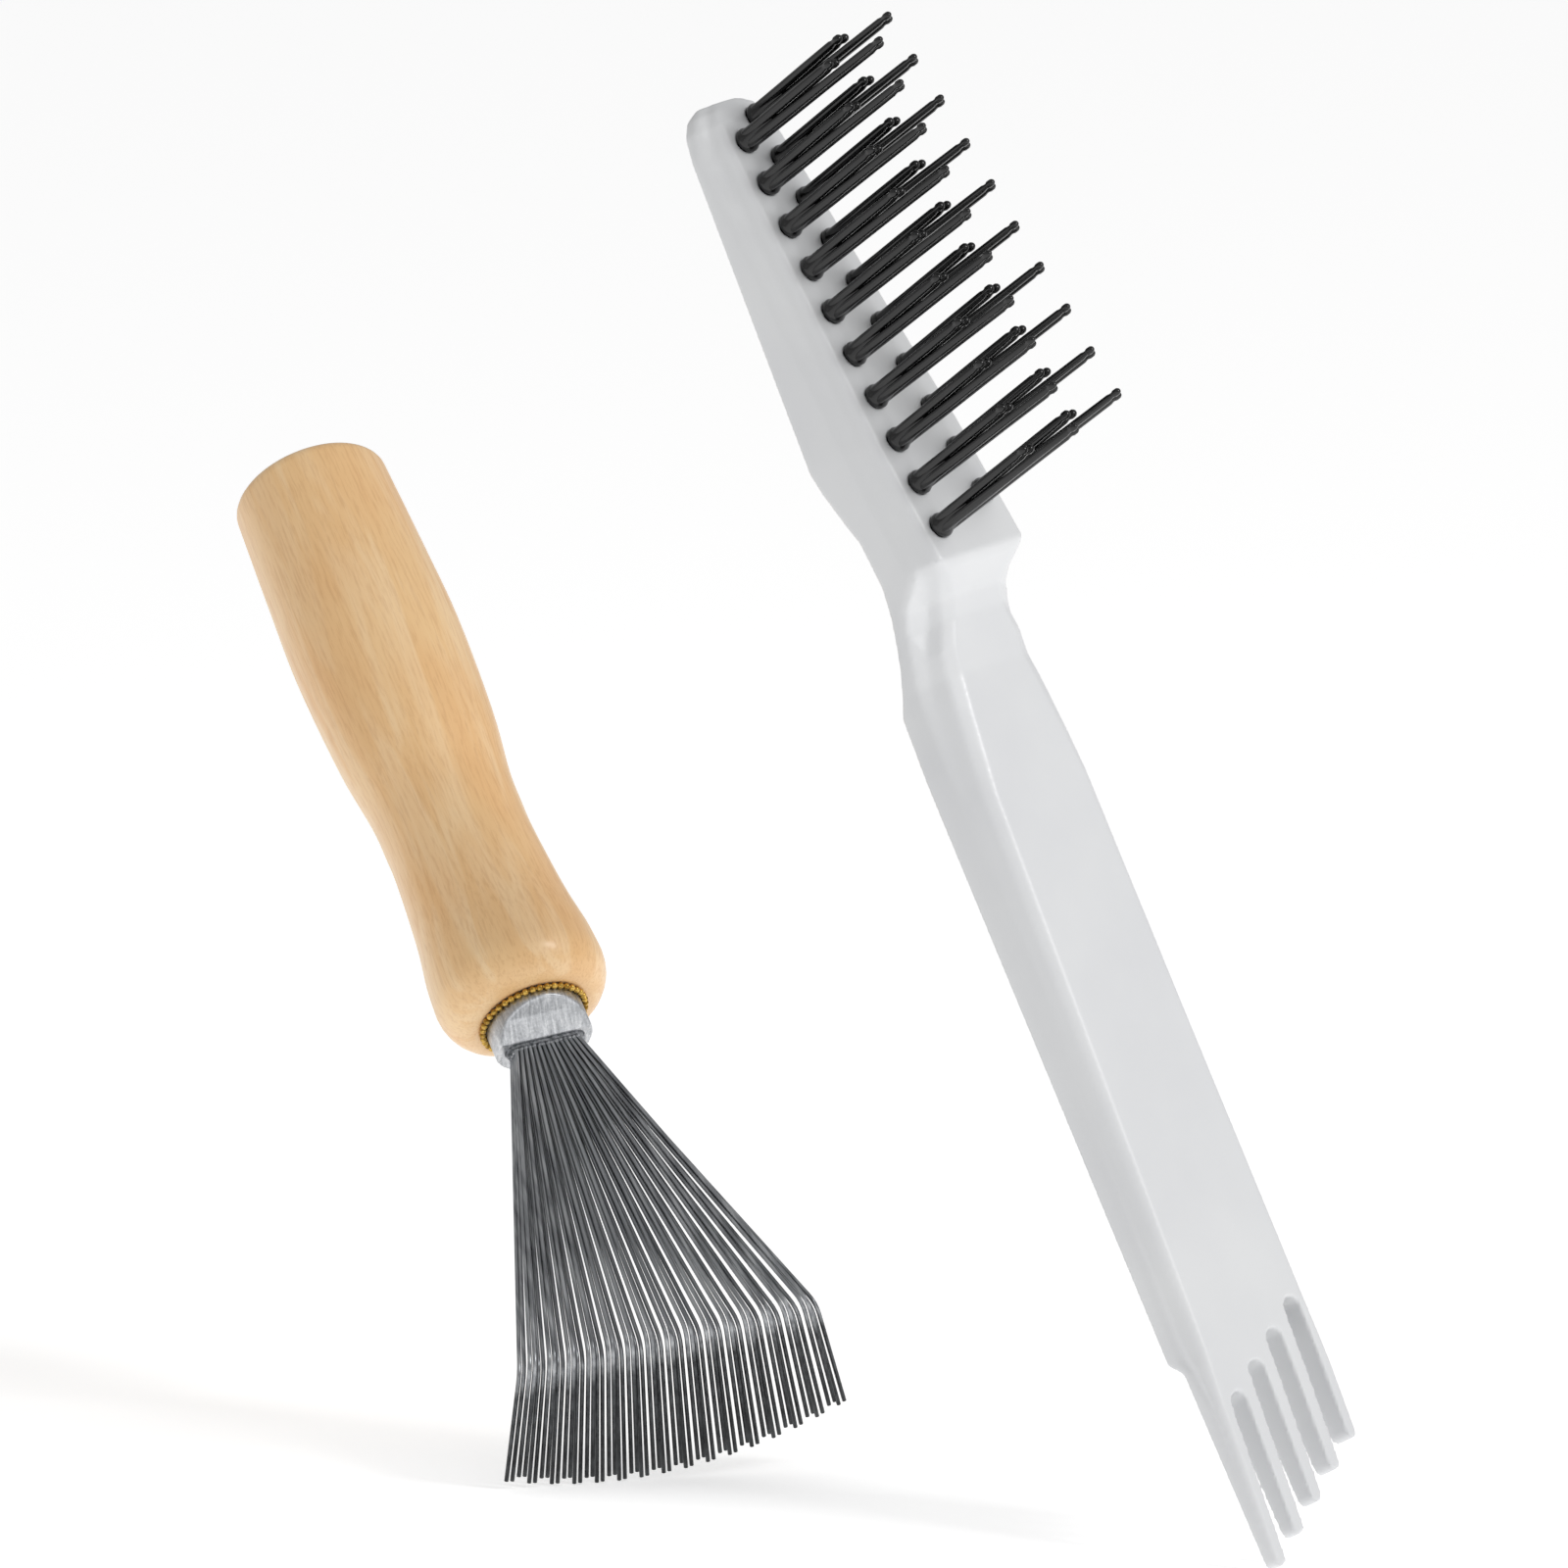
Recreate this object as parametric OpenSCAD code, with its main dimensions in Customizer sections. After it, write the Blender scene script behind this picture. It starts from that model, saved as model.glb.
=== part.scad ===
// Grooming-comb cleaning set: a tufted hand brush with a fork end, and a turned
// wooden hand rake with a fan of bent spring wires. Millimetres, +Z up.
// Each tool is drawn along its own +X axis and then leaned over onto its tips.

/* [Brush head] */
// Length of the head beyond the last tuft
head_rest = 3.77; // [1:0.01:16.3]
// Width of the head at its widest
head_w = 16.6; // [15:0.2:22]
// Height of the tufted face at the tip, above the flat back
face_z = 3.74; // [3.6:0.02:6]
// Rise of the tufted face toward the handle, degrees
face_tilt = 8.6; // [4:0.1:9]
// Length of the flat back under the head
flat_l = 42.5; // [38:0.5:46]

/* [Brush handle] */
// Length of the arched neck
neck_l = 14.1; // [12:0.1:20]
// Length of the handle, neck to fork
grip_l = 77.4; // [60:0.2:100]
// Width of the handle at its back
grip_w = 20; // [17:0.2:24]
// Height of the handle where the neck ends
grip_h = 7.2; // [6.4:0.1:9]
// Height of the arch under the neck
arch_h = 3.8; // [1:0.1:4.5]
// Wall of the hollow handle
wall = 2; // [1.4:0.1:2.6]

/* [Fork] */
// Number of fork tines
tines = 5; // [3:1:6]
// Width of a slot between two tines
slot_w = 2.4; // [1.6:0.1:2.8]
// Length of a tine, slot root to tip
tine_l = 17.2; // [10:0.2:24]
// Width of a tine at its tip
tine_tip_w = 1.8; // [1:0.1:2]
// Slant of the row of tips, degrees
fork_slant = 31; // [0:1:35]

/* [Tufts] */
// Tufts in each of the two rows
tufts = 10; // [6:1:10]
// Spacing of the tufts along a row
tuft_pitch = 5.37; // [4:0.01:6.5]
// Distance of the first far tuft from the tip of the head
tuft_start = 3; // [2.8:0.1:6]
// How far the near row is staggered behind the far row
tuft_stagger = 2.4; // [0:0.1:2.6]
// Half the distance between the rows at the tip of the head
row_half = 1.75; // [1.5:0.05:2.4]
// Growth of that half distance at each tuft
row_spread = 0.3; // [0:0.02:0.34]
// Diameter of a tuft hole
hole_d = 2.3; // [2:0.05:2.5]
// Depth of a tuft hole
hole_l = 3; // [2:0.1:3.2]
// Gap round a tuft root in its hole
tuft_fit = 0.05; // [0.02:0.01:0.1]
// Diameter of one filament
filament_d = 1; // [0.6:0.05:1]
// Length of the short filaments above the face
short_l = 17.7; // [10:0.1:22]
// Length of the long filaments above the face
long_l = 24.2; // [18:0.1:30]
// Extra length of the longest filament
longest_extra = 1.6; // [0:0.1:3]

/* [Rake handle] */
// Length of the turned handle
wood_l = 76; // [66:0.5:95]
// Diameter of the handle at its belly
belly_d = 19.7; // [17:0.1:24]
// Diameter of the handle at its waist
waist_d = 16.6; // [14.6:0.1:18]
// Diameter of the handle at its shoulder, near the ferrule
shoulder_d = 20.1; // [18:0.1:25]

/* [Ferrule] */
// Outer diameter of the ferrule
ferrule_d = 11.4; // [11:0.1:13.8]
// Length of the ferrule inside the handle
shank_l = 14; // [8:0.5:20]
// Length of the ferrule outside the handle
ferrule_out = 4.1; // [3.7:0.1:6]
// Length of the ferrule's full round wall outside the handle
wall_out = 1.3; // [1:0.1:1.6]
// Length of the upper facet, along the axis
facet_l = 1; // [0.6:0.1:1.2]
// Height of the step between the two facets, above the axis
step_h = 3.6; // [3:0.1:4.4]
// Height of the lip's top edge above the axis
lip_h = 1.7; // [1.55:0.05:2.4]
// How far the lower half stops short of the lip
foot_back = 0.7; // [0.2:0.1:1]
// Gap round the ferrule in the handle
ferrule_fit = 0.05; // [0.02:0.01:0.2]
// How far the ring round the ferrule stands out from it
ring_step = 0.8; // [0.3:0.1:1.5]
// Thickness of that ring
ring_t = 0.8; // [0.5:0.05:1.2]

/* [Wires] */
// Bent wires, each with two legs
wires = 31; // [15:2:31]
// Wire diameter
wire_d = 0.5; // [0.3:0.02:0.5]
// Half the width of the fan where the legs leave the ferrule
exit_half = 4; // [4:0.05:4.1]
// Half the width of the fan at the bends
bend_half = 17.7; // [14:0.1:24]
// Distance from the ferrule's lip to the bends
fan_l = 41; // [30:0.5:60]
// Length of the bent tips at the middle of the fan
tip_l = 16.6; // [10:0.1:20]
// How much shorter the bent tips are at the edges of the fan
tip_trim = 3.6; // [0:0.1:5]
// Angle of the bent tips, degrees
bend_angle = 61; // [30:1:80]
// Sideways splay of the outermost bent tips
tip_splay = 2.5; // [0:0.1:5]
// Reach of the rounding at each bend
bend_r = 1.5; // [0.5:0.1:3]

/* [Hidden] */
BRUSH_TURN = [10.1, 63.3, -31.9];
RAKE_TURN = [12.9, 43.3, -62.2];
// The point of the brush handle that is the origin, and the rake's butt from there
GRIP_POINT = [110, 0, 3.5];
RAKE_BUTT = [-90.1, 106, 41.2];

head_l = tuft_start + (tufts - 1) * tuft_pitch + tuft_stagger + head_rest;
grip_x = head_l + neck_l;
fork_x = grip_x + grip_l;
slot_x = fork_x + 2.7;
end_x = slot_x + tine_l + grip_w / 2 * tan(fork_slant) + 2;
tine_pitch = (grip_w - tine_w()) / (tines - 1);
function tine_w() = (grip_w - (tines - 1) * slot_w) / tines;

lip_x = wood_l + ferrule_out;
ring_d = ferrule_d + 2 * ring_step;
legs = 2 * wires;
row_gap = wire_d * 1.1;
lead_l = shank_l + ferrule_out - 4;
mouth_w = 2 * exit_half + wire_d + 0.9;
mouth_t = 4 * row_gap + 0.5;
wire_fit = 0.01;

tuft_names = [for (row = ["front", "back"], i = [1:tufts])
    str("tuft_", row, "_", i < 10 ? "0" : "", i)];
wire_names = [for (i = [1:wires]) str("wire_", i < 10 ? "0" : "", i)];
$fn = 32;

// ---------- brush ----------

function face(x) = face_z + x * tan(face_tilt);

// Outline of the brush along X: back, widest half width, front, front half width,
// crease where the side wall turns in, and the ledge just above it.
BACK = [[0, 0.9], [1, 0.25], [2.5, 0], [flat_l, 0], [flat_l + 2.5, 0.6],
    [flat_l + 6.5, arch_h * 0.53], [head_l - 5.5, arch_h * 0.84], [head_l, arch_h],
    [grip_x - 9.6, arch_h * 0.87], [grip_x - 4.6, arch_h * 0.53],
    [grip_x - 2, arch_h * 0.26], [grip_x, 0], [fork_x, 0], [fork_x + 1.6, 1.7],
    [end_x, 2.1]];
HALF = [[0, head_w * 0.22], [1, head_w * 0.31], [2.5, head_w * 0.365],
    [5.5, head_w * 0.4], [flat_l, head_w / 2], [head_l + 2.5, head_w / 2 + 0.4],
    [grip_x, grip_w / 2 - 0.4], [grip_x + 8, grip_w / 2], [end_x, grip_w / 2]];
FRONT = [[0, face_z - 1.1], [1, face_z - 0.2], [2.5, face(2.5)], [head_l, face(head_l)],
    [head_l + 1, face(head_l) - 0.5], [head_l + 2, face(head_l) - 1.5],
    [head_l + 3.6, grip_h + 2.1], [head_l + 6, grip_h + 1.2], [head_l + 9, grip_h + 0.6],
    [grip_x - 2.6, grip_h + 0.1], [grip_x + 7.4, grip_h], [fork_x, grip_h - 1.6],
    [fork_x + 6, grip_h - 1.9], [end_x, grip_h - 3.4]];
FRONT_HALF = [[0, head_w * 0.1], [1, head_w * 0.19], [2.5, head_w * 0.24],
    [7, head_w * 0.28], [flat_l, head_w * 0.42], [head_l, head_w * 0.43],
    [head_l + 2, head_w * 0.33], [head_l + 4.4, head_w * 0.22],
    [head_l + 8.1, grip_w * 0.27], [grip_x - 2, grip_w * 0.285],
    [grip_x + 2.8, grip_w * 0.325], [grip_x + 11.4, grip_w * 0.385],
    [fork_x - 9, grip_w * 0.4525], [fork_x + 6, grip_w * 0.47], [end_x, grip_w * 0.48]];
// How far the crease lies below the front, and the ledge's half width beyond the front's
CREASE = [[0, 1.5], [5, 3.6], [head_l, 4.3], [grip_x, grip_h - 1.9],
    [fork_x, grip_h - 3.3], [fork_x + 3, 1.9], [end_x, 1]];
LEDGE = [[0, 0.3], [5, 0.55], [head_l, 0.6], [head_l + 3, 1.6], [grip_x, 2.2],
    [grip_x + 12, 1.5], [fork_x, 0.5], [end_x, 0.2]];
STATIONS = [0, 0.4, 1, 2.5, 5.5, 14, 28, flat_l, flat_l + 2.5, flat_l + 6.5, head_l - 5.5,
    head_l - 1, head_l, head_l + 1, head_l + 2, head_l + 3.6, head_l + 6, head_l + 9,
    grip_x - 2, grip_x, grip_x + 2.8, grip_x + 7.4, grip_x + 12, grip_x + 30,
    fork_x - 20, fork_x - 9, fork_x, fork_x + 1.6, fork_x + 6, end_x];

// One half of the outer outline at x, from the back's edge round to the front's edge
function half_ring(x) = let (
        zb = lookup(x, BACK), h = lookup(x, HALF), zf = lookup(x, FRONT),
        f = lookup(x, FRONT_HALF), zc = zf - min(lookup(x, CREASE), zf - zb - 0.45),
        g = min(f + lookup(x, LEDGE), h - 0.05), s = zf - zc)
    [[h - 0.35, zb], [h, zb + 0.35], [h, zc], [h - 0.3, zc + 0.28 * s],
     [g + 0.12, zc + 0.5 * s], [g * 0.6 + f * 0.4, zf - 0.18 * s],
     [f, zf - 0.05 * s], [f - 0.5, zf]];

// The same for the hollow under the handle, one wall thickness inside the outline
function half_hollow(x) = let (
        h = lookup(x, HALF) - wall, zf = lookup(x, FRONT) - wall,
        f = lookup(x, FRONT_HALF) - wall)
    [[h, -1], [h, 1.2], [f, zf - 0.4], [f - 0.4, zf]];

function ring_points(x, half) = let (n = len(half))
    [for (p = half) [x, p[0], p[1]], for (i = [n - 1:-1:0]) [x, -half[i][0], half[i][1]]];

// A solid through a list of rings, each with the same number of points
module skin(rings) {
    n = len(rings[0]);
    last = len(rings) - 1;
    polyhedron(
        points = [for (r = rings) each r],
        faces = [
            [for (i = [0:n - 1]) i],
            for (k = [0:last - 1], i = [0:n - 1]) let (
                    a = k * n + i, b = k * n + (i + 1) % n)
                each [[a, a + n, b], [b, a + n, b + n]],
            [for (i = [n - 1:-1:0]) last * n + i]
        ],
        convexity = 6);
}

module brush_shell() {
    skin([for (x = STATIONS) ring_points(x, half_ring(x))]);
}

module brush_hollow() {
    skin([for (x = [grip_x + 5, grip_x + 12, grip_x + 30, fork_x - 20, fork_x - 12])
        ring_points(x, half_hollow(x))]);
}

// Plan of everything between and beyond the tines
module fork_gaps() {
    slope = tan(fork_slant);
    reach = grip_w / 2 + 1;
    difference() {
        polygon([[slot_x + reach * slope, -reach], [end_x + 5, -reach],
            [end_x + 5, reach], [slot_x - reach * slope, reach]]);
        for (i = [0:tines - 1])
            tine(-grip_w / 2 + tine_w() / 2 + i * tine_pitch, slope);
    }
    for (i = [0:tines - 2]) {
        y = -grip_w / 2 + tine_w() / 2 + (i + 0.5) * tine_pitch;
        translate([slot_x - y * slope, y]) circle(d = slot_w);
    }
}

module tine(y, slope) {
    root = slot_x - y * slope;
    tip = root + tine_l - tine_tip_w / 2;
    side = abs(y) > grip_w / 2 - tine_w() ? 0.5 : 0;
    polygon([[root - 8, y - tine_w() / 2 - side * (y < 0 ? 1 : 0)],
        [tip, y - tine_tip_w / 2], [tip, y + tine_tip_w / 2],
        [root - 8, y + tine_w() / 2 + side * (y > 0 ? 1 : 0)]]);
    translate([tip, y]) circle(d = tine_tip_w);
}

// Puts a tuft's own parts at its place on the face; row -1 is the near one
module at_tuft(row, i) {
    x = tuft_start + (i - 1) * tuft_pitch + (row < 0 ? tuft_stagger : 0);
    y = row * (row_half + row_spread * (i - 1));
    translate([x, y, face(x)]) rotate([0, -face_tilt, 0]) children();
}

module brush_body() {
    color("white") difference() {
        brush_shell();
        brush_hollow();
        translate([0, 0, -2]) linear_extrude(grip_h + 8) fork_gaps();
        for (row = [-1, 1], i = [1:tufts])
            at_tuft(row, i) translate([0, 0, -hole_l]) cylinder(d = hole_d, h = hole_l + 2);
    }
}

anchor_l = 1.2;
anchor_t = 0.3;

module anchor(extra) {
    translate([0, 0, -hole_l + (anchor_l - extra) / 2])
        cube([hole_d - 2 * tuft_fit - 0.1 + extra, anchor_t + extra, anchor_l + extra], center = true);
}

module tuft(row, i) {
    gap = filament_d / 2 + 0.02;
    color("#1c1c1e") at_tuft(row, i) difference() {
        union() {
            translate([0, 0, -hole_l])
                cylinder(d = hole_d - 2 * tuft_fit, h = hole_l);
            cylinder(d1 = hole_d + 0.2, d2 = 2 * gap + filament_d - 0.1, h = 2.2);
            filament(-gap, -gap, short_l);
            filament(-gap, gap, short_l - 0.4);
            filament(gap, -gap, long_l + longest_extra);
            filament(gap, gap, long_l);
        }
        anchor(tuft_fit);
    }
}

// A bristle that leans outward a little, with a rounded tip
module filament(x, y, l) {
    translate([x, y, 1]) rotate([-sign(y) * 0.7, sign(x) * 0.7, 0]) {
        cylinder(d = filament_d, h = l - 1 - filament_d / 2, $fn = 20);
        translate([0, 0, l - 1 - filament_d / 2]) sphere(d = filament_d, $fn = 20);
    }
}

module tuft_anchors() {
    color("silver") for (row = [-1, 1], i = [1:tufts]) at_tuft(row, i) anchor(0);
}

// ---------- rake ----------

// Handle outline: distance from the butt and diameter
WOOD = [[1.6, belly_d - 1.7], [14, belly_d - 0.6], [24, belly_d], [wood_l - 39.4, belly_d - 1],
    [wood_l - 31, waist_d + 0.25], [wood_l - 26.3, waist_d], [wood_l - 22.4, waist_d + 0.1],
    [wood_l - 13.9, shoulder_d - 2.1], [wood_l - 8.2, shoulder_d - 0.5],
    [wood_l - 4.6, shoulder_d]];

// Smooth curve through the outline's points p1 and p2, with p0 and p3 on either side
function through(p0, p1, p2, p3, t) =
    ((2 * p1) + (p2 - p0) * t + (2 * p0 - 5 * p1 + 4 * p2 - p3) * t * t
     + (3 * p1 - p0 - 3 * p2 + p3) * t * t * t) / 2;

module wood_handle() {
    n = len(WOOD) - 1;
    side = [for (i = [0:n - 1], t = [0:0.25:0.75]) through(WOOD[max(i - 1, 0)], WOOD[i],
        WOOD[i + 1], WOOD[min(i + 2, n)], t), WOOD[n]];
    edge = 1.6;
    butt_r = WOOD[0][1] / 2;
    round_l = wood_l - WOOD[n][0];
    color("burlywood") rotate([0, 90, 0]) difference() {
        rotate_extrude($fn = 64) polygon(concat(
            [[0, 0], [butt_r - edge, 0], for (a = [30, 60])
                [butt_r - edge + edge * sin(a), edge - edge * cos(a)]],
            [for (p = side) [p[1] / 2, p[0]]],
            [for (a = [18:18:90]) [shoulder_d / 2 - 3.4 + 3.4 * cos(a),
                wood_l - round_l + round_l * sin(a)]],
            [[0, wood_l]]));
        translate([0, 0, wood_l - shank_l - 0.4])
            cylinder(d = ferrule_d + 2 * ferrule_fit, h = shank_l + 1);
    }
}

module oval(w, t, l) {
    linear_extrude(l) {
        square([w - t, t], center = true);
        for (s = [-1, 1]) translate([s * (w - t) / 2, 0]) circle(d = t);
    }
}

// The tube's top is pressed down to the mouth in two facets, and its foot ends in a step
module ferrule() {
    r = ferrule_d / 2;
    foot_x = ferrule_out - foot_back;
    color("silver") translate([wood_l, 0, 0]) difference() {
        intersection() {
            translate([-shank_l, 0, 0]) rotate([0, 90, 0])
                cylinder(d = ferrule_d, h = shank_l + ferrule_out);
            rotate([90, 0, 0]) linear_extrude(ferrule_d + 2, center = true)
                polygon([[-shank_l - 1, -r - 1], [foot_x, -r - 1], [foot_x, -lip_h],
                    [ferrule_out + 1, -lip_h], [ferrule_out + 1, lip_h],
                    [ferrule_out, lip_h], [wall_out + facet_l, step_h],
                    [wall_out, r], [wall_out, r + 1], [-shank_l - 1, r + 1]]);
        }
        translate([-shank_l - 1, 0, 0]) rotate([0, 90, 0])
            cylinder(d = ferrule_d - 1.6, h = shank_l + 1);
        translate([-1, 0, 0]) rotate([90, 0, 90]) oval(mouth_w, mouth_t, ferrule_out + 2);
    }
}

module collar_ring() {
    color("gold") translate([wood_l, 0, 0]) rotate([0, 90, 0]) difference() {
        cylinder(d = ring_d, h = ring_t);
        translate([0, 0, -1]) cylinder(d = ferrule_d + 2 * ferrule_fit, h = ring_t + 2);
    }
}

// Solder that fills the ferrule's mouth round the legs
module wire_solder() {
    color("dimgray") difference() {
        translate([lip_x - 4, 0, 0]) rotate([90, 0, 90])
            oval(mouth_w - 0.02, mouth_t - 0.02, 4.3);
        for (j = [0:legs - 1]) leg_hole(j);
    }
}

function spread(j) = 2 * j / (legs - 1) - 1;
function lane(j) = j % 4 - 1.5;
function leg_exit(j) = [lip_x + 0.4, spread(j) * exit_half, lane(j) * row_gap];
function leg_bend(j) = [lip_x + fan_l, spread(j) * bend_half,
    sign(lane(j)) * 0.4 + lane(j) * 0.15];
function leg_tip(j) = let (s = spread(j), l = tip_l - tip_trim * s * s)
    leg_bend(j) + [l * cos(bend_angle), s * tip_splay, -l * sin(bend_angle)];

// The straight hole of a leg through the solder
module leg_hole(j) {
    p = leg_exit(j);
    translate([p[0] - 6, p[1], p[2]]) rotate([0, 90, 0])
        cylinder(d = wire_d + 2 * wire_fit, h = 8, $fn = 16);
}

function unit(v) = v / norm(v);

// Points round the bend of a leg at q, on the way from p to s
function bent(p, q, s) = let (a = q + unit(p - q) * bend_r, b = q + unit(s - q) * bend_r)
    [for (t = [0:0.25:1]) a * (1 - t) * (1 - t) + q * 2 * t * (1 - t) + b * t * t];

function leg_path(j) = concat([leg_tip(j)], bent(leg_tip(j), leg_bend(j), leg_exit(j)),
    [leg_exit(j), leg_exit(j) - [lead_l, 0, 0]]);

function hairpin(i) = let (b = leg_path(2 * i - 1))
    concat(leg_path(2 * i - 2), [for (k = [len(b) - 1:-1:0]) b[k]]);

// Rings of a bar along a path, each one the last ring carried on to the next mitre
function carry(path, k, ring) = k == len(path) ? [] : let (
        d = unit(path[k] - path[k - 1]),
        t = k == len(path) - 1 ? d : unit(d + unit(path[k + 1] - path[k])),
        next = [for (q = ring) q + d * (((path[k] - q) * t) / (d * t))])
    concat([next], carry(path, k + 1, next));

module swept(path, d, sides) {
    w = unit(path[1] - path[0]);
    u = unit(cross([0, 1, 0], w));
    v = cross(w, u);
    first = [for (k = [0:sides - 1]) let (a = 360 * (k + 0.5) / sides)
        path[0] + (u * cos(a) + v * sin(a)) * d / 2];
    skin(concat([first], carry(path, 1, first)));
}

module wire(i) {
    color("gray") swept(hairpin(i), wire_d, 8);
}

// ---------- the two tools where they stand ----------

module as_brush() {
    rotate(BRUSH_TURN) translate(-GRIP_POINT) children();
}

module as_rake() {
    translate(RAKE_BUTT) rotate(RAKE_TURN) children();
}

as_brush() brush_body();
for (i = [1:tufts]) {
    as_brush() tuft(-1, i);
    as_brush() tuft(1, i);
}
as_brush() tuft_anchors();
as_rake() wood_handle();
as_rake() ferrule();
as_rake() collar_ring();
as_rake() wire_solder();
for (i = [1:wires])
    as_rake() wire(i);
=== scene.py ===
"""A comb-cleaning set: a white tufted hand brush with a fork end, and a wooden rake with
a fan of bent steel wires. Metres throughout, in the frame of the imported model."""

import math
import random

import bpy
from mathutils import Euler, Matrix, Vector


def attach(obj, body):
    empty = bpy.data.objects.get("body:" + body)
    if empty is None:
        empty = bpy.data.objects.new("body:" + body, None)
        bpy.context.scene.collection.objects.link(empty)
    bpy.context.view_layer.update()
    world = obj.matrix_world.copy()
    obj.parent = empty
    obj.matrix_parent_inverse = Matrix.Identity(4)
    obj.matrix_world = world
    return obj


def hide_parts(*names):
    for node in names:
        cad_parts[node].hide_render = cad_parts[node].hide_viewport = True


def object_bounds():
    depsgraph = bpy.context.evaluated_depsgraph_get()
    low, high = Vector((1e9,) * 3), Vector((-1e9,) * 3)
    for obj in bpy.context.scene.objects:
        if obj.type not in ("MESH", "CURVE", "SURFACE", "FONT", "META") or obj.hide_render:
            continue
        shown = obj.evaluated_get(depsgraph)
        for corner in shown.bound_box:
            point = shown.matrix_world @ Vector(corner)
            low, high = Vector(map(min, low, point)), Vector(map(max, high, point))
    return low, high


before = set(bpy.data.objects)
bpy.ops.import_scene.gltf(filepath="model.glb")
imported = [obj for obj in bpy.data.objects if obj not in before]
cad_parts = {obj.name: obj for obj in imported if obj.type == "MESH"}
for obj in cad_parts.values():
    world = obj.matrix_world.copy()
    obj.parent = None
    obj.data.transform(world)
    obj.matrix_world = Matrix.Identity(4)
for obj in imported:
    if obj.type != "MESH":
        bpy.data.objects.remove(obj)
cad_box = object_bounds()

MM = 0.001
BRUSH, RAKE = "tuft_brush", "wire_rake"


def placed(turn_deg, offset_mm):
    """The frame of one tool: its turn in degrees and the place of its own zero."""
    turn = Euler([math.radians(a) for a in turn_deg]).to_matrix().to_4x4()
    return Matrix.Translation(Vector(offset_mm) * MM) @ turn


# Each tool's own +X runs along it, and +Z points out of its working side.
BRUSH_TURN = (10.1, 63.3, -31.9)
RAKE_TURN = (12.9, 43.3, -62.2)
RAKE_BUTT_MM = (-90.1, 106.0, 41.2)
GRIP_POINT_MM = (110.0, 0.0, 3.5)
brush_frame = placed(BRUSH_TURN, (0, 0, 0)) @ Matrix.Translation(-Vector(GRIP_POINT_MM) * MM)
rake_frame = placed(RAKE_TURN, RAKE_BUTT_MM)


# ---------- modelling helpers ----------


def only(obj):
    """Makes obj the one selected, active object."""
    bpy.ops.object.select_all(action="DESELECT")
    obj.select_set(True)
    bpy.context.view_layer.objects.active = obj


def start(name):
    """Names the primitive that was just added."""
    obj = bpy.context.active_object
    obj.name = obj.data.name = name
    return obj


def joined(objs, name):
    only(objs[0])
    for o in objs[1:]:
        o.select_set(True)
    bpy.ops.object.join()
    return start(name)


def apply_modifier(obj, kind, **settings):
    only(obj)
    mod = obj.modifiers.new(kind.title(), kind)
    for key, value in settings.items():
        setattr(mod, key, value)
    bpy.ops.object.modifier_apply(modifier=mod.name)


def settle(obj, matrix):
    """Moves the mesh to its place, so that the object itself stays at the origin."""
    obj.data.transform(matrix @ obj.matrix_world)
    obj.matrix_world = Matrix.Identity(4)


def smooth(obj, degrees=40):
    only(obj)
    bpy.ops.object.shade_smooth_by_angle(angle=math.radians(degrees))


def copy_of_node(node, name):
    """A merged copy of a node's mesh, as the start of a more finished piece."""
    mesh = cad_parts[node].data.copy()
    mesh.materials.clear()
    obj = bpy.data.objects.new(name, mesh)
    bpy.context.scene.collection.objects.link(obj)
    only(obj)
    bpy.ops.object.mode_set(mode="EDIT")
    bpy.ops.mesh.select_all(action="SELECT")
    bpy.ops.mesh.remove_doubles(threshold=0.002 * MM)
    bpy.ops.object.mode_set(mode="OBJECT")
    return obj


def own_copy(obj, name):
    twin = obj.copy()
    twin.data = obj.data.copy()
    twin.name = twin.data.name = name
    bpy.context.scene.collection.objects.link(twin)
    return twin


def finished(obj, body, slot, material, *nodes):
    """Gives a piece its material and says what it rides on, replaces and is made of."""
    obj.data.materials.clear()
    obj.data.materials.append(material)
    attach(obj, body)
    if nodes:
        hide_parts(*nodes)


def turned(name, outline, sides):
    """A turned shape about Z: each outline point is a height and a radius, in millimetres."""
    bpy.ops.object.select_all(action="DESELECT")
    z, r = outline[0]
    bpy.ops.mesh.primitive_circle_add(
        vertices=sides, radius=r * MM, fill_type="NGON", location=(0, 0, z * MM))
    obj = start(name)
    bpy.ops.object.mode_set(mode="EDIT")
    bpy.ops.mesh.select_all(action="SELECT")
    for (z0, r0), (z1, r1) in zip(outline, outline[1:]):
        bpy.ops.mesh.extrude_region_move(
            TRANSFORM_OT_translate={"value": (0, 0, (z1 - z0) * MM)})
        bpy.ops.transform.resize(value=(r1 / r0, r1 / r0, 1))
    bpy.ops.mesh.select_all(action="DESELECT")
    bpy.ops.mesh.select_non_manifold()
    bpy.ops.mesh.edge_face_add()
    bpy.ops.mesh.select_all(action="SELECT")
    bpy.ops.mesh.normals_make_consistent(inside=False)
    bpy.ops.object.mode_set(mode="OBJECT")
    return obj


# ---------- materials ----------


def srgb(code):
    """Linear colour of an sRGB hex value."""
    parts = [int(code[i:i + 2], 16) / 255 for i in (1, 3, 5)]
    return [c / 12.92 if c <= 0.04045 else ((c + 0.055) / 1.055) ** 2.4 for c in parts] + [1]


def add(tree, kind, inputs=None, **settings):
    """Adds a node. An input is a value, or a (node, output) pair to link from."""
    node = tree.nodes.new(kind)
    for key, value in settings.items():
        setattr(node, key, value)
    for key, value in (inputs or {}).items():
        if isinstance(value, tuple) and isinstance(value[0], bpy.types.Node):
            tree.links.new(value[0].outputs[value[1]], node.inputs[key])
        else:
            node.inputs[key].default_value = value
    return node


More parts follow.
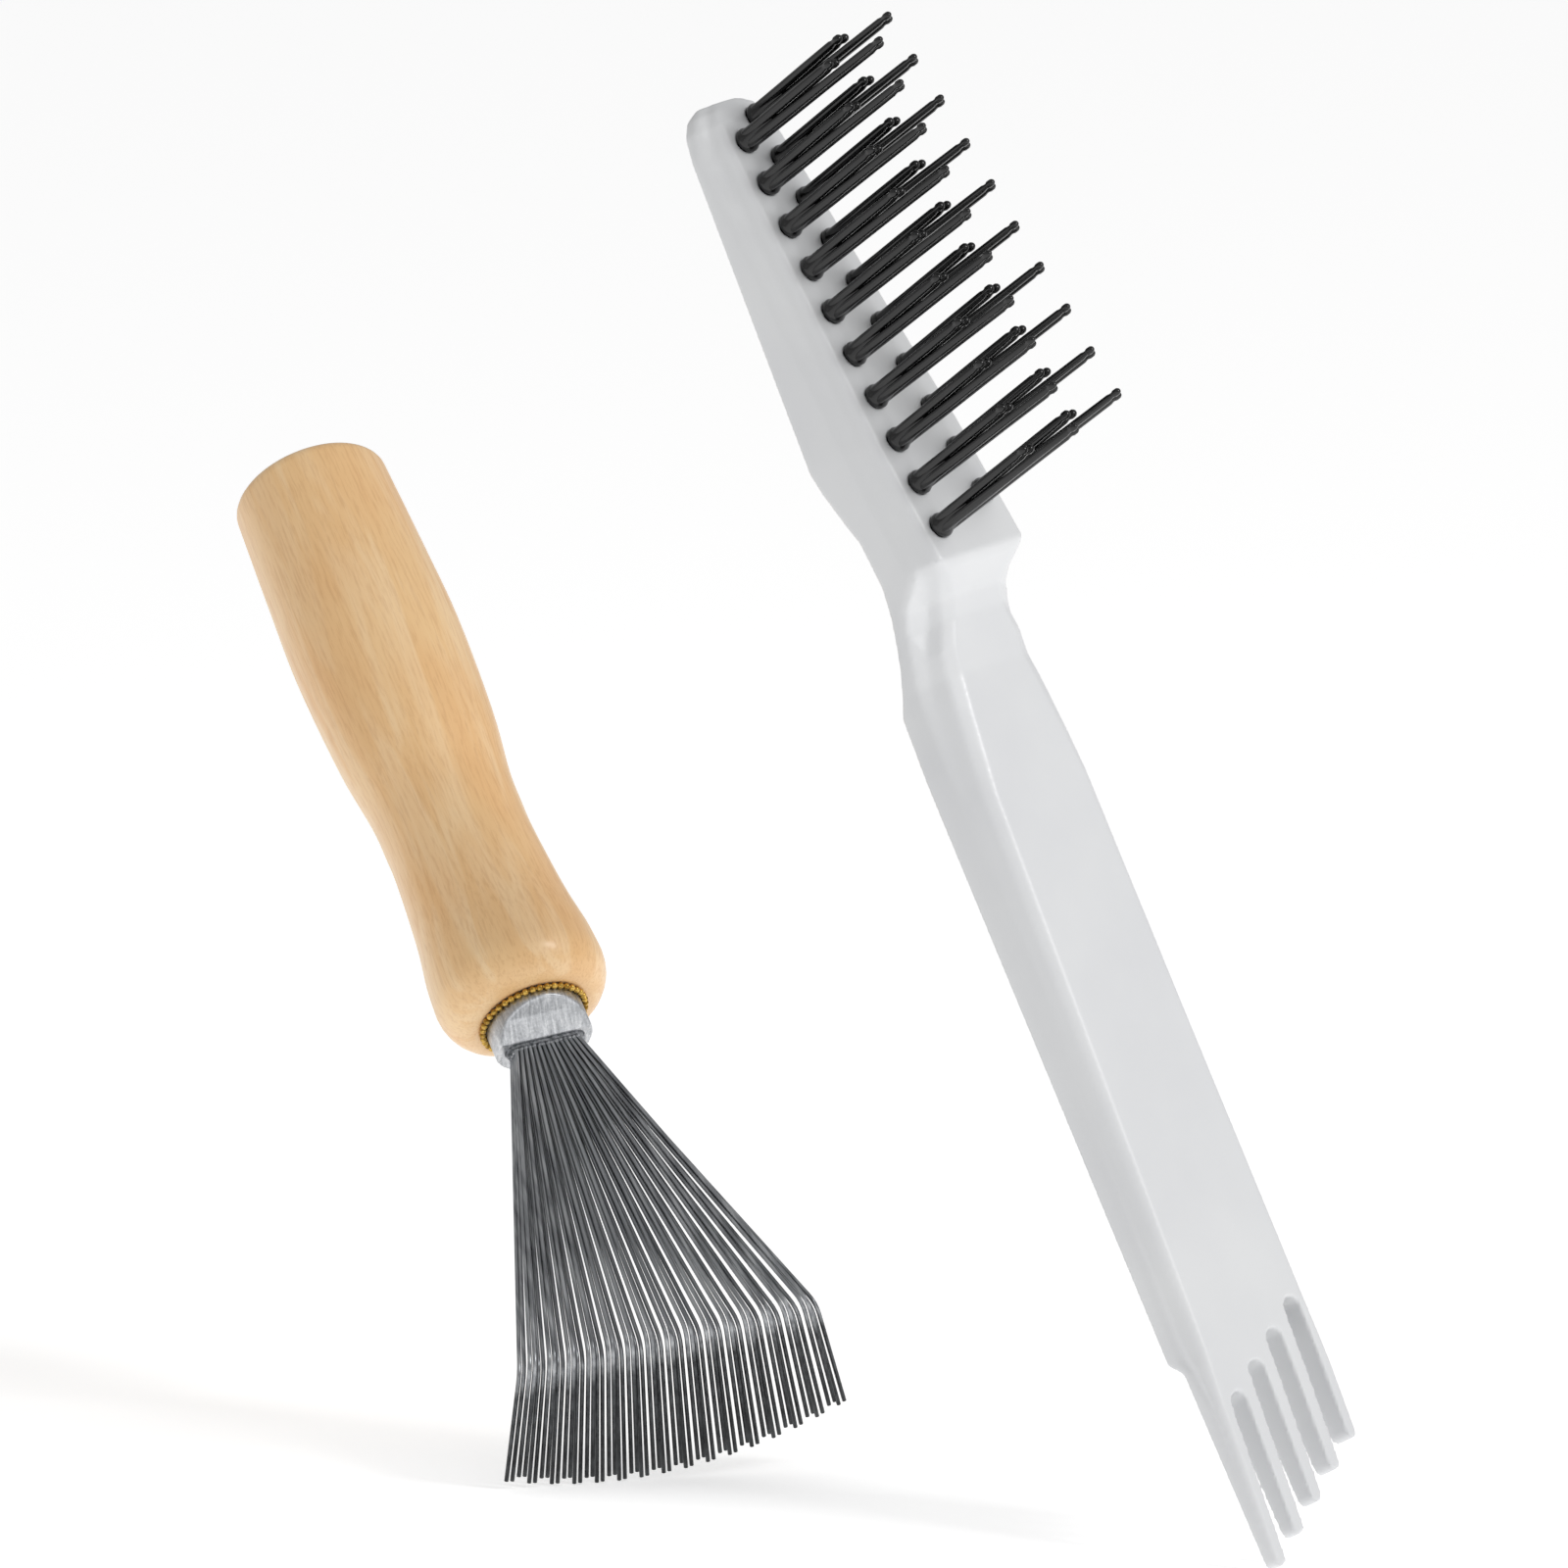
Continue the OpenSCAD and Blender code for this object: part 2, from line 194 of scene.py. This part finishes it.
def new_material(name, **shader):
    """A material, its node tree and its shader, with the uniform values set."""
    mat = bpy.data.materials.new(name)
    mat.use_nodes = True
    tree = mat.node_tree
    bsdf = tree.nodes["Principled BSDF"]
    for key, value in shader.items():
        bsdf.inputs[key.replace("_", " ")].default_value = value
    return mat, tree, bsdf


def own_coordinates(tree, matrix, stretch=(1, 1, 1)):
    """Object coordinates in a tool's own frame, in millimetres, times a stretch."""
    coord = add(tree, "ShaderNodeTexCoord")
    local = add(tree, "ShaderNodeMapping", {
        "Vector": (coord, "Object"), "Location": matrix.to_translation(),
        "Rotation": matrix.to_euler()}, vector_type="TEXTURE")
    return add(tree, "ShaderNodeMapping", {
        "Vector": (local, "Vector"), "Scale": [s / MM for s in stretch]})


def ramp(tree, source, output, stops):
    node = add(tree, "ShaderNodeValToRGB", {"Fac": (source, output)})
    while len(node.color_ramp.elements) < len(stops):
        node.color_ramp.elements.new(0.5)
    for element, (position, colour) in zip(node.color_ramp.elements, stops):
        element.position, element.color = position, colour
    return node


def grey(value):
    return [value, value, value, 1]


def bumped(tree, bsdf, source, output, strength, depth_mm):
    bump = add(tree, "ShaderNodeBump", {
        "Height": (source, output), "Strength": strength, "Distance": depth_mm * MM})
    tree.links.new(bump.outputs["Normal"], bsdf.inputs["Normal"])
    return bump


def moulded_white_abs():
    """Injection-moulded white ABS: glossy, with a faint ripple where the wall shrank."""
    mat, tree, bsdf = new_material("moulded_white_abs", IOR=1.53)
    coords = own_coordinates(tree, brush_frame)
    cloud = add(tree, "ShaderNodeTexNoise", {"Vector": (coords, "Vector"), "Scale": 0.06,
                                             "Detail": 3.0})
    tint = ramp(tree, cloud, "Fac", [(0.3, srgb("#DADBDD")), (0.7, srgb("#E0E1E2"))])
    tree.links.new(tint.outputs["Color"], bsdf.inputs["Base Color"])
    # Mould polish: a grain of about 0.4 mm in the gloss
    grain = add(tree, "ShaderNodeTexNoise", {"Vector": (coords, "Vector"), "Scale": 2.5,
                                             "Detail": 4.0})
    gloss = ramp(tree, grain, "Fac", [(0.3, grey(0.3)), (0.75, grey(0.42))])
    tree.links.new(gloss.outputs["Color"], bsdf.inputs["Roughness"])
    bumped(tree, bsdf, grain, "Fac", 0.12, 0.02)
    return mat


def black_nylon():
    """Extruded black nylon monofilament: a tight gloss broken by fine die lines."""
    mat, tree, bsdf = new_material("black_nylon_filament", IOR=1.53)
    lines = own_coordinates(tree, brush_frame, (1.5, 1.5, 0.1))
    noise = add(tree, "ShaderNodeTexNoise", {"Vector": (lines, "Vector"), "Scale": 1.2,
                                             "Detail": 3.0})
    tint = ramp(tree, noise, "Fac", [(0.3, srgb("#040405")), (0.7, srgb("#0C0C0D"))])
    tree.links.new(tint.outputs["Color"], bsdf.inputs["Base Color"])
    gloss = ramp(tree, noise, "Fac", [(0.3, grey(0.18)), (0.7, grey(0.28))])
    tree.links.new(gloss.outputs["Color"], bsdf.inputs["Roughness"])
    bumped(tree, bsdf, noise, "Fac", 0.06, 0.01)
    return mat


def varnished_maple():
    """Turned maple under satin varnish: honey ground, darker growth bands, fine flecks."""
    mat, tree, bsdf = new_material("varnished_maple", IOR=1.5, Coat_Weight=0.35,
                                   Coat_Roughness=0.22)
    # Growth bands about 3 mm apart run along the handle and wander a little
    along = own_coordinates(tree, rake_frame, (0.03, 0.28, 0.28))
    bands = add(tree, "ShaderNodeTexNoise", {"Vector": (along, "Vector"), "Scale": 1.0,
                                             "Detail": 5.0, "Distortion": 0.7})
    ground = ramp(tree, bands, "Fac", [
        (0.28, srgb("#F2C78F")), (0.45, srgb("#F4CB94")), (0.6, srgb("#FAD8A8")),
        (0.8, srgb("#F4CC97"))])
    # Flecks of 0.3 by 4 mm along the grain
    fine = own_coordinates(tree, rake_frame, (0.25, 3.2, 3.2))
    fleck = add(tree, "ShaderNodeTexNoise", {"Vector": (fine, "Vector"), "Scale": 1.0,
                                             "Detail": 4.0, "Roughness": 0.65})
    dark = ramp(tree, fleck, "Fac", [(0.36, srgb("#B98350")), (0.52, srgb("#FFFFFF"))])
    mix = add(tree, "ShaderNodeMixRGB", {
        "Fac": 0.18, "Color1": (ground, "Color"), "Color2": (dark, "Color")},
        blend_type="MULTIPLY")
    # Patches 12 mm across where the varnish lies warmer
    patch = own_coordinates(tree, rake_frame, (0.05, 0.09, 0.09))
    cloud = add(tree, "ShaderNodeTexNoise", {"Vector": (patch, "Vector"), "Scale": 1.0,
                                             "Detail": 2.0})
    warm = ramp(tree, cloud, "Fac", [(0.35, srgb("#FFFFFF")), (0.7, srgb("#F3D3AC"))])
    tone = add(tree, "ShaderNodeMixRGB", {
        "Fac": 0.3, "Color1": (mix, "Color"), "Color2": (warm, "Color")},
        blend_type="MULTIPLY")
    tree.links.new(tone.outputs["Color"], bsdf.inputs["Base Color"])
    gloss = ramp(tree, fleck, "Fac", [(0.3, grey(0.5)), (0.7, grey(0.36))])
    tree.links.new(gloss.outputs["Color"], bsdf.inputs["Roughness"])
    bumped(tree, bsdf, fleck, "Fac", 0.12, 0.04)
    return mat


def crimped_aluminium():
    """Pressed aluminium tube: bright wall, frosted lip, tool streaks along the axis."""
    mat, tree, bsdf = new_material("crimped_aluminium", Metallic=1.0)
    coords = own_coordinates(tree, rake_frame)
    frost = add(tree, "ShaderNodeTexNoise", {"Vector": (coords, "Vector"), "Scale": 3.2,
                                             "Detail": 6.0, "Roughness": 0.75})
    streaks = add(tree, "ShaderNodeTexNoise", {
        "Vector": (own_coordinates(tree, rake_frame, (0.25, 3.4, 0.6)), "Vector"),
        "Scale": 1.0, "Detail": 3.0})
    both = add(tree, "ShaderNodeMixRGB", {
        "Fac": 0.5, "Color1": (frost, "Color"), "Color2": (streaks, "Color")},
        blend_type="MIX")
    tint = ramp(tree, both, "Color", [
        (0.34, srgb("#8E9093")), (0.5, srgb("#C4C6C9")), (0.64, srgb("#F0F1F2"))])
    tree.links.new(tint.outputs["Color"], bsdf.inputs["Base Color"])
    gloss = ramp(tree, frost, "Fac", [(0.35, grey(0.28)), (0.65, grey(0.52))])
    tree.links.new(gloss.outputs["Color"], bsdf.inputs["Roughness"])
    bumped(tree, bsdf, both, "Color", 0.5, 0.12)
    return mat


def knurled_brass():
    """Brass bead wire, tarnished in its hollows."""
    mat, tree, bsdf = new_material("knurled_brass", Metallic=1.0, Roughness=0.3)
    coords = own_coordinates(tree, rake_frame)
    spots = add(tree, "ShaderNodeTexNoise", {"Vector": (coords, "Vector"), "Scale": 1.6,
                                             "Detail": 3.0})
    tint = ramp(tree, spots, "Fac", [(0.35, srgb("#8E6A2A")), (0.6, srgb("#D9B25A"))])
    tree.links.new(tint.outputs["Color"], bsdf.inputs["Base Color"])
    bumped(tree, bsdf, spots, "Fac", 0.2, 0.03)
    return mat


def drawn_steel():
    """Drawn spring-steel wire: bright along the fan, darker past the bend as painted shade."""
    mat, tree, bsdf = new_material("drawn_steel_wire", Metallic=1.0)
    coords = own_coordinates(tree, rake_frame)
    xyz = add(tree, "ShaderNodeSeparateXYZ", {"Vector": (coords, "Vector")})
    # Past the bend a leg drops below the fan's plane, and there its colour is darkened as painted shade
    shade_past_bend = add(tree, "ShaderNodeMapRange", {
        "Value": (xyz, "Z"), "From Min": -3.0, "From Max": -0.6})
    scale = add(tree, "ShaderNodeTexNoise", {
        "Vector": (own_coordinates(tree, rake_frame, (0.05, 1.1, 1.1)), "Vector"),
        "Scale": 1.0, "Detail": 4.0})
    bright = ramp(tree, scale, "Fac", [
        (0.34, srgb("#808285")), (0.5, srgb("#9B9DA0")), (0.66, srgb("#B8BABC"))])
    # Painted shade: a darker steel tone for the legs below the fan's plane
    shaded_steel_tint = ramp(tree, scale, "Fac", [(0.35, srgb("#3E3F41")), (0.65, srgb("#5A5C5E"))])
    mix = add(tree, "ShaderNodeMixRGB", {
        "Fac": (shade_past_bend, "Result"), "Color1": (shaded_steel_tint, "Color"), "Color2": (bright, "Color")})
    tree.links.new(mix.outputs["Color"], bsdf.inputs["Base Color"])
    gloss = ramp(tree, scale, "Fac", [(0.3, grey(0.26)), (0.7, grey(0.42))])
    tree.links.new(gloss.outputs["Color"], bsdf.inputs["Roughness"])
    return mat


def dull_solder():
    """Tin solder, grey and slightly grainy where it set."""
    mat, tree, bsdf = new_material("dull_tin_solder", Metallic=1.0)
    coords = own_coordinates(tree, rake_frame)
    grain = add(tree, "ShaderNodeTexNoise", {"Vector": (coords, "Vector"), "Scale": 2.4,
                                             "Detail": 4.0})
    tint = ramp(tree, grain, "Fac", [(0.35, srgb("#6D6F72")), (0.65, srgb("#B9BBBE"))])
    tree.links.new(tint.outputs["Color"], bsdf.inputs["Base Color"])
    gloss = ramp(tree, grain, "Fac", [(0.3, grey(0.35)), (0.7, grey(0.55))])
    tree.links.new(gloss.outputs["Color"], bsdf.inputs["Roughness"])
    bumped(tree, bsdf, grain, "Fac", 0.3, 0.06)
    return mat


abs_white, nylon, maple = moulded_white_abs(), black_nylon(), varnished_maple()
aluminium, brass, steel = crimped_aluminium(), knurled_brass(), drawn_steel()
solder = dull_solder()


# ---------- camera, floor and lights ----------

CAMERA_RISE = math.radians(10)
LENS_MM, SENSOR_MM, VIEW_WIDTH = 800, 36, 173.9 * MM
LOOK_AT = Vector((-36.1, 15.25, 22.9)) * MM
FLOOR_SIZE = 60


def add_camera():
    data = bpy.data.cameras.new("camera")
    data.lens, data.sensor_width = LENS_MM, SENSOR_MM
    camera = bpy.data.objects.new("camera", data)
    bpy.context.scene.collection.objects.link(camera)
    distance = VIEW_WIDTH * LENS_MM / SENSOR_MM
    back = Vector((0, -math.cos(CAMERA_RISE), math.sin(CAMERA_RISE)))
    camera.location = LOOK_AT + back * distance
    camera.rotation_euler = (math.pi / 2 - CAMERA_RISE, 0, 0)
    data.clip_start, data.clip_end = 0.05, 100
    bpy.context.scene.camera = camera


def add_floor():
    bpy.ops.object.select_all(action="DESELECT")
    bpy.ops.mesh.primitive_plane_add(size=FLOOR_SIZE, location=(0, 0, cad_box[0].z))
    floor = start("floor")
    mat, tree, bsdf = new_material("pale_paper", Roughness=0.9, Emission_Strength=0.5)
    bsdf.inputs["Base Color"].default_value = srgb("#F8F8F8")
    bsdf.inputs["Emission Color"].default_value = srgb("#FFFFFF")
    floor.data.materials.append(mat)


def softbox(name, place, size, watts):
    """A square area light that looks at the middle of the set."""
    data = bpy.data.lights.new(name, "AREA")
    data.size, data.energy = size, watts
    lamp = bpy.data.objects.new(name, data)
    bpy.context.scene.collection.objects.link(lamp)
    lamp.location = place
    lamp.rotation_euler = (-Vector(place)).to_track_quat("-Z", "Y").to_euler()


def add_light():
    world = bpy.data.worlds.new("studio")
    world.use_nodes = True
    sky = world.node_tree.nodes["Background"]
    sky.inputs["Color"].default_value = (1, 1, 1, 1)
    sky.inputs["Strength"].default_value = 0.45
    bpy.context.scene.world = world
    softbox("key_above_right", (0.6, -0.4, 0.6), 0.25, 3.4)
    softbox("fill_left", (-0.7, -0.5, 0.45), 0.4, 0.15)
    # Plain colours, as a white studio sweep shows them
    bpy.context.scene.view_settings.view_transform = "Standard"


add_camera()
add_floor()
add_light()


# ---------- the tufted brush ----------

FACE_HEIGHT, FACE_TILT = 3.74, math.radians(8.6)
TUFTS, TUFT_PITCH, FIRST_TUFT, STAGGER = 10, 5.37, 3.0, 2.4
ROW_HALF, ROW_SPREAD = 1.75, 0.3
# Half the distance between the bristles of one tuft, and how far they lean
BRISTLE_GAP, BRISTLE_LEAN = 0.52, math.radians(0.7)


def brush_moulding():
    """The one-piece moulding, its edges softened as a mould leaves them."""
    body = copy_of_node("brush_body", "brush_moulding")
    apply_modifier(body, "REMESH", mode="VOXEL", voxel_size=0.3 * MM)
    apply_modifier(body, "SMOOTH", factor=0.5, iterations=4)
    smooth(body, 60)
    finished(body, BRUSH, "white_plastic", abs_white, "brush_body")


def filament(name, x, y, length, foot, tip):
    """One bristle: a long taper from foot to tip radius, and a rounded nub at its end."""
    neck = tip * 0.8
    bristle = turned(name, [
        (0.4, foot), (length * 0.3, foot * 0.92), (length * 0.62, tip * 1.12),
        (length - 1.9, tip), (length - 1.5, neck), (length - 1.15, neck),
        (length - 0.85, tip * 1.06), (length - 0.3, tip), (length - 0.08, tip * 0.7),
        (length, tip * 0.25)], 14)
    lean = Matrix.Rotation(BRISTLE_LEAN * math.copysign(1, x), 4, "Y")
    side = Matrix.Rotation(-BRISTLE_LEAN * math.copysign(1, y), 4, "X")
    settle(bristle, Matrix.Translation((x * MM, y * MM, 0)) @ side @ lean)
    return bristle


def first_tuft():
    """Boot and four bristles, standing on the zero of the tuft's own place."""
    gap = BRISTLE_GAP
    boot = turned("tuft_boot", [
        (-0.4, 1.1), (0, 1.18), (0.15, 1.42), (0.5, 1.48), (0.8, 1.36), (1.4, 1.15),
        (2.6, 1.0), (4.2, 0.86), (5.6, 0.6)], 28)
    parts = [boot,
             filament("short_near", -gap, -gap, 17.5, 0.6, 0.47),
             filament("short_far", -gap, gap, 17.1, 0.6, 0.47),
             filament("long_near", gap, -gap, 25.7, 0.58, 0.4),
             filament("long_far", gap, gap, 24.1, 0.58, 0.4)]
    tuft = joined(parts, "tuft")
    smooth(tuft, 50)
    return tuft


def tuft_places():
    """The near row is staggered behind the far row, and both spread toward the handle."""
    for row, side, shift in (("front", -1, STAGGER), ("back", 1, 0)):
        for i in range(TUFTS):
            x = FIRST_TUFT + i * TUFT_PITCH + shift
            y = side * (ROW_HALF + ROW_SPREAD * i)
            z = FACE_HEIGHT + x * math.tan(FACE_TILT)
            yield f"tuft_{row}_{i + 1:02d}", Vector((x, y, z)) * MM


def tufts():
    model = first_tuft()
    draw = random.Random(7)
    for node, place in tuft_places():
        tuft = own_copy(model, node.replace("tuft", "bristles"))
        lean = Matrix.Rotation(draw.uniform(-0.008, 0.008), 4, "X")
        turn = Matrix.Rotation(-FACE_TILT + draw.uniform(-0.006, 0.006), 4, "Y")
        settle(tuft, brush_frame @ Matrix.Translation(place) @ turn @ lean)
        finished(tuft, BRUSH, "black_nylon", nylon, node)
    bpy.data.objects.remove(model)


# ---------- the wire rake ----------

WOOD_LENGTH, FERRULE_OUT, EXIT_HALF = 76.0, 4.1, 4.0
LEGS, ROW_GAP = 62, 0.55
# Handle outline: distance from the butt and diameter, in millimetres
WOOD_OUTLINE = [(1.6, 18.0), (14, 19.1), (24, 19.7), (36.6, 18.7), (45, 16.85),
                (49.7, 16.6), (53.6, 16.7), (62.1, 18.0), (67.8, 19.6), (71.4, 20.1)]
RING_WIRE_RADIUS, BEAD_CIRCLE_RADIUS, BEADS = 6.05, 6.12, 44
UPRIGHT_TO_TOOL = Matrix.Rotation(math.pi / 2, 4, "Y")


def curve_through(points, steps):
    """Points on the smooth curve through an outline."""
    last = len(points) - 1
    for i in range(last):
        a, b, c, d = (Vector(points[min(max(k, 0), last)]) for k in range(i - 1, i + 3))
        for k in range(steps):
            t = k / steps
            yield (2 * b + (c - a) * t + (2 * a - 5 * b + 4 * c - d) * t * t
                   + (3 * b - a - 3 * c + d) * t ** 3) / 2
    yield Vector(points[last])


def quarter(z, r, reach, rise, sign, steps=7):
    """Round edge: from radius r - reach to r, or back, over a height of rise."""
    for k in range(steps + 1):
        a = math.pi / 2 * k / steps
        yield (z + rise * (1 - math.cos(a)), r - reach + reach * math.sin(a)) \
            if sign > 0 else (z + rise * math.sin(a), r - reach + reach * math.cos(a))


def wooden_handle():
    side = [(p[0], p[1] / 2) for p in curve_through(WOOD_OUTLINE, 5)]
    butt = list(quarter(0, side[0][1], 1.7, 1.6, 1))[:-1]
    nose = list(quarter(side[-1][0], side[-1][1], 3.5, WOOD_LENGTH - side[-1][0], -1))[1:]
    hole = [(WOOD_LENGTH, 6.2), (WOOD_LENGTH - 0.25, 5.9), (WOOD_LENGTH - 1.2, 5.78)]
    handle = turned("wooden_handle", butt + side + nose + hole, 96)
    settle(handle, rake_frame @ UPRIGHT_TO_TOOL)
    smooth(handle, 60)
    finished(handle, RAKE, "wood", maple, "wood_handle")


def crimped_ferrule():
    ferrule = copy_of_node("ferrule", "crimped_ferrule")
    apply_modifier(ferrule, "REMESH", mode="VOXEL", voxel_size=0.15 * MM)
    apply_modifier(ferrule, "SMOOTH", factor=0.5, iterations=3)
    smooth(ferrule, 60)
    finished(ferrule, RAKE, "ferrule_metal", aluminium, "ferrule")


def beaded_ring():
    """A ring of small brass beads on a thin wire, where the ferrule enters the wood."""
    bpy.ops.object.select_all(action="DESELECT")
    bpy.ops.mesh.primitive_torus_add(
        major_radius=RING_WIRE_RADIUS * MM, minor_radius=0.2 * MM, major_segments=96, minor_segments=10,
        location=(0, 0, (WOOD_LENGTH + 0.34) * MM))
    parts = [start("ring_wire")]
    bpy.ops.mesh.primitive_ico_sphere_add(subdivisions=2, radius=0.4 * MM)
    bead = start("bead")
    for k in range(BEADS):
        a = 2 * math.pi * k / BEADS
        twin = own_copy(bead, f"bead_{k}")
        twin.location = Vector((
            BEAD_CIRCLE_RADIUS * math.cos(a), BEAD_CIRCLE_RADIUS * math.sin(a),
            WOOD_LENGTH + 0.42)) * MM
        parts.append(twin)
    bpy.data.objects.remove(bead)
    ring = joined(parts, "beaded_ring")
    settle(ring, rake_frame @ UPRIGHT_TO_TOOL)
    smooth(ring, 80)
    finished(ring, RAKE, "brass_ring", brass, "collar_ring")


def leg_exit(leg):
    spread = 2 * leg / (LEGS - 1) - 1
    return Vector((WOOD_LENGTH + FERRULE_OUT + 0.35, spread * EXIT_HALF,
                   (leg % 4 - 1.5) * ROW_GAP)) * MM


def exit_beads():
    """Blobs of solder that stand round the legs where they leave the mouth."""
    draw = random.Random(11)
    bpy.ops.object.select_all(action="DESELECT")
    bpy.ops.mesh.primitive_ico_sphere_add(subdivisions=2, radius=0.36 * MM)
    blob = start("blob")
    parts = []
    for leg in range(LEGS):
        twin = own_copy(blob, f"blob_{leg}")
        twin.location = leg_exit(leg)
        size = draw.uniform(0.8, 1.15)
        twin.scale = (size * 0.9, size, size)
        parts.append(twin)
    bpy.data.objects.remove(blob)
    beads = joined(parts, "exit_beads")
    only(beads)
    bpy.ops.object.transform_apply(location=True, rotation=True, scale=True)
    settle(beads, rake_frame)
    smooth(beads, 80)
    finished(beads, RAKE, "solder", solder)


def rake_wires():
    for node in sorted(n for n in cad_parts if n.startswith("wire_")):
        if node == "wire_solder":
            continue
        wire = copy_of_node(node, node.replace("wire", "spring_wire"))
        only(wire)
        bpy.ops.object.mode_set(mode="EDIT")
        bpy.ops.mesh.select_all(action="SELECT")
        bpy.ops.mesh.tris_convert_to_quads()
        bpy.ops.object.mode_set(mode="OBJECT")
        smooth(wire, 62)
        finished(wire, RAKE, "steel_wire", steel, node)


brush_moulding()
tufts()
wooden_handle()
crimped_ferrule()
beaded_ring()
exit_beads()
rake_wires()

for name, metal in (("tuft_anchors", steel), ("wire_solder", solder)):
    cad_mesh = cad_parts[name].data
    cad_mesh.materials.clear()
    cad_mesh.materials.append(metal)
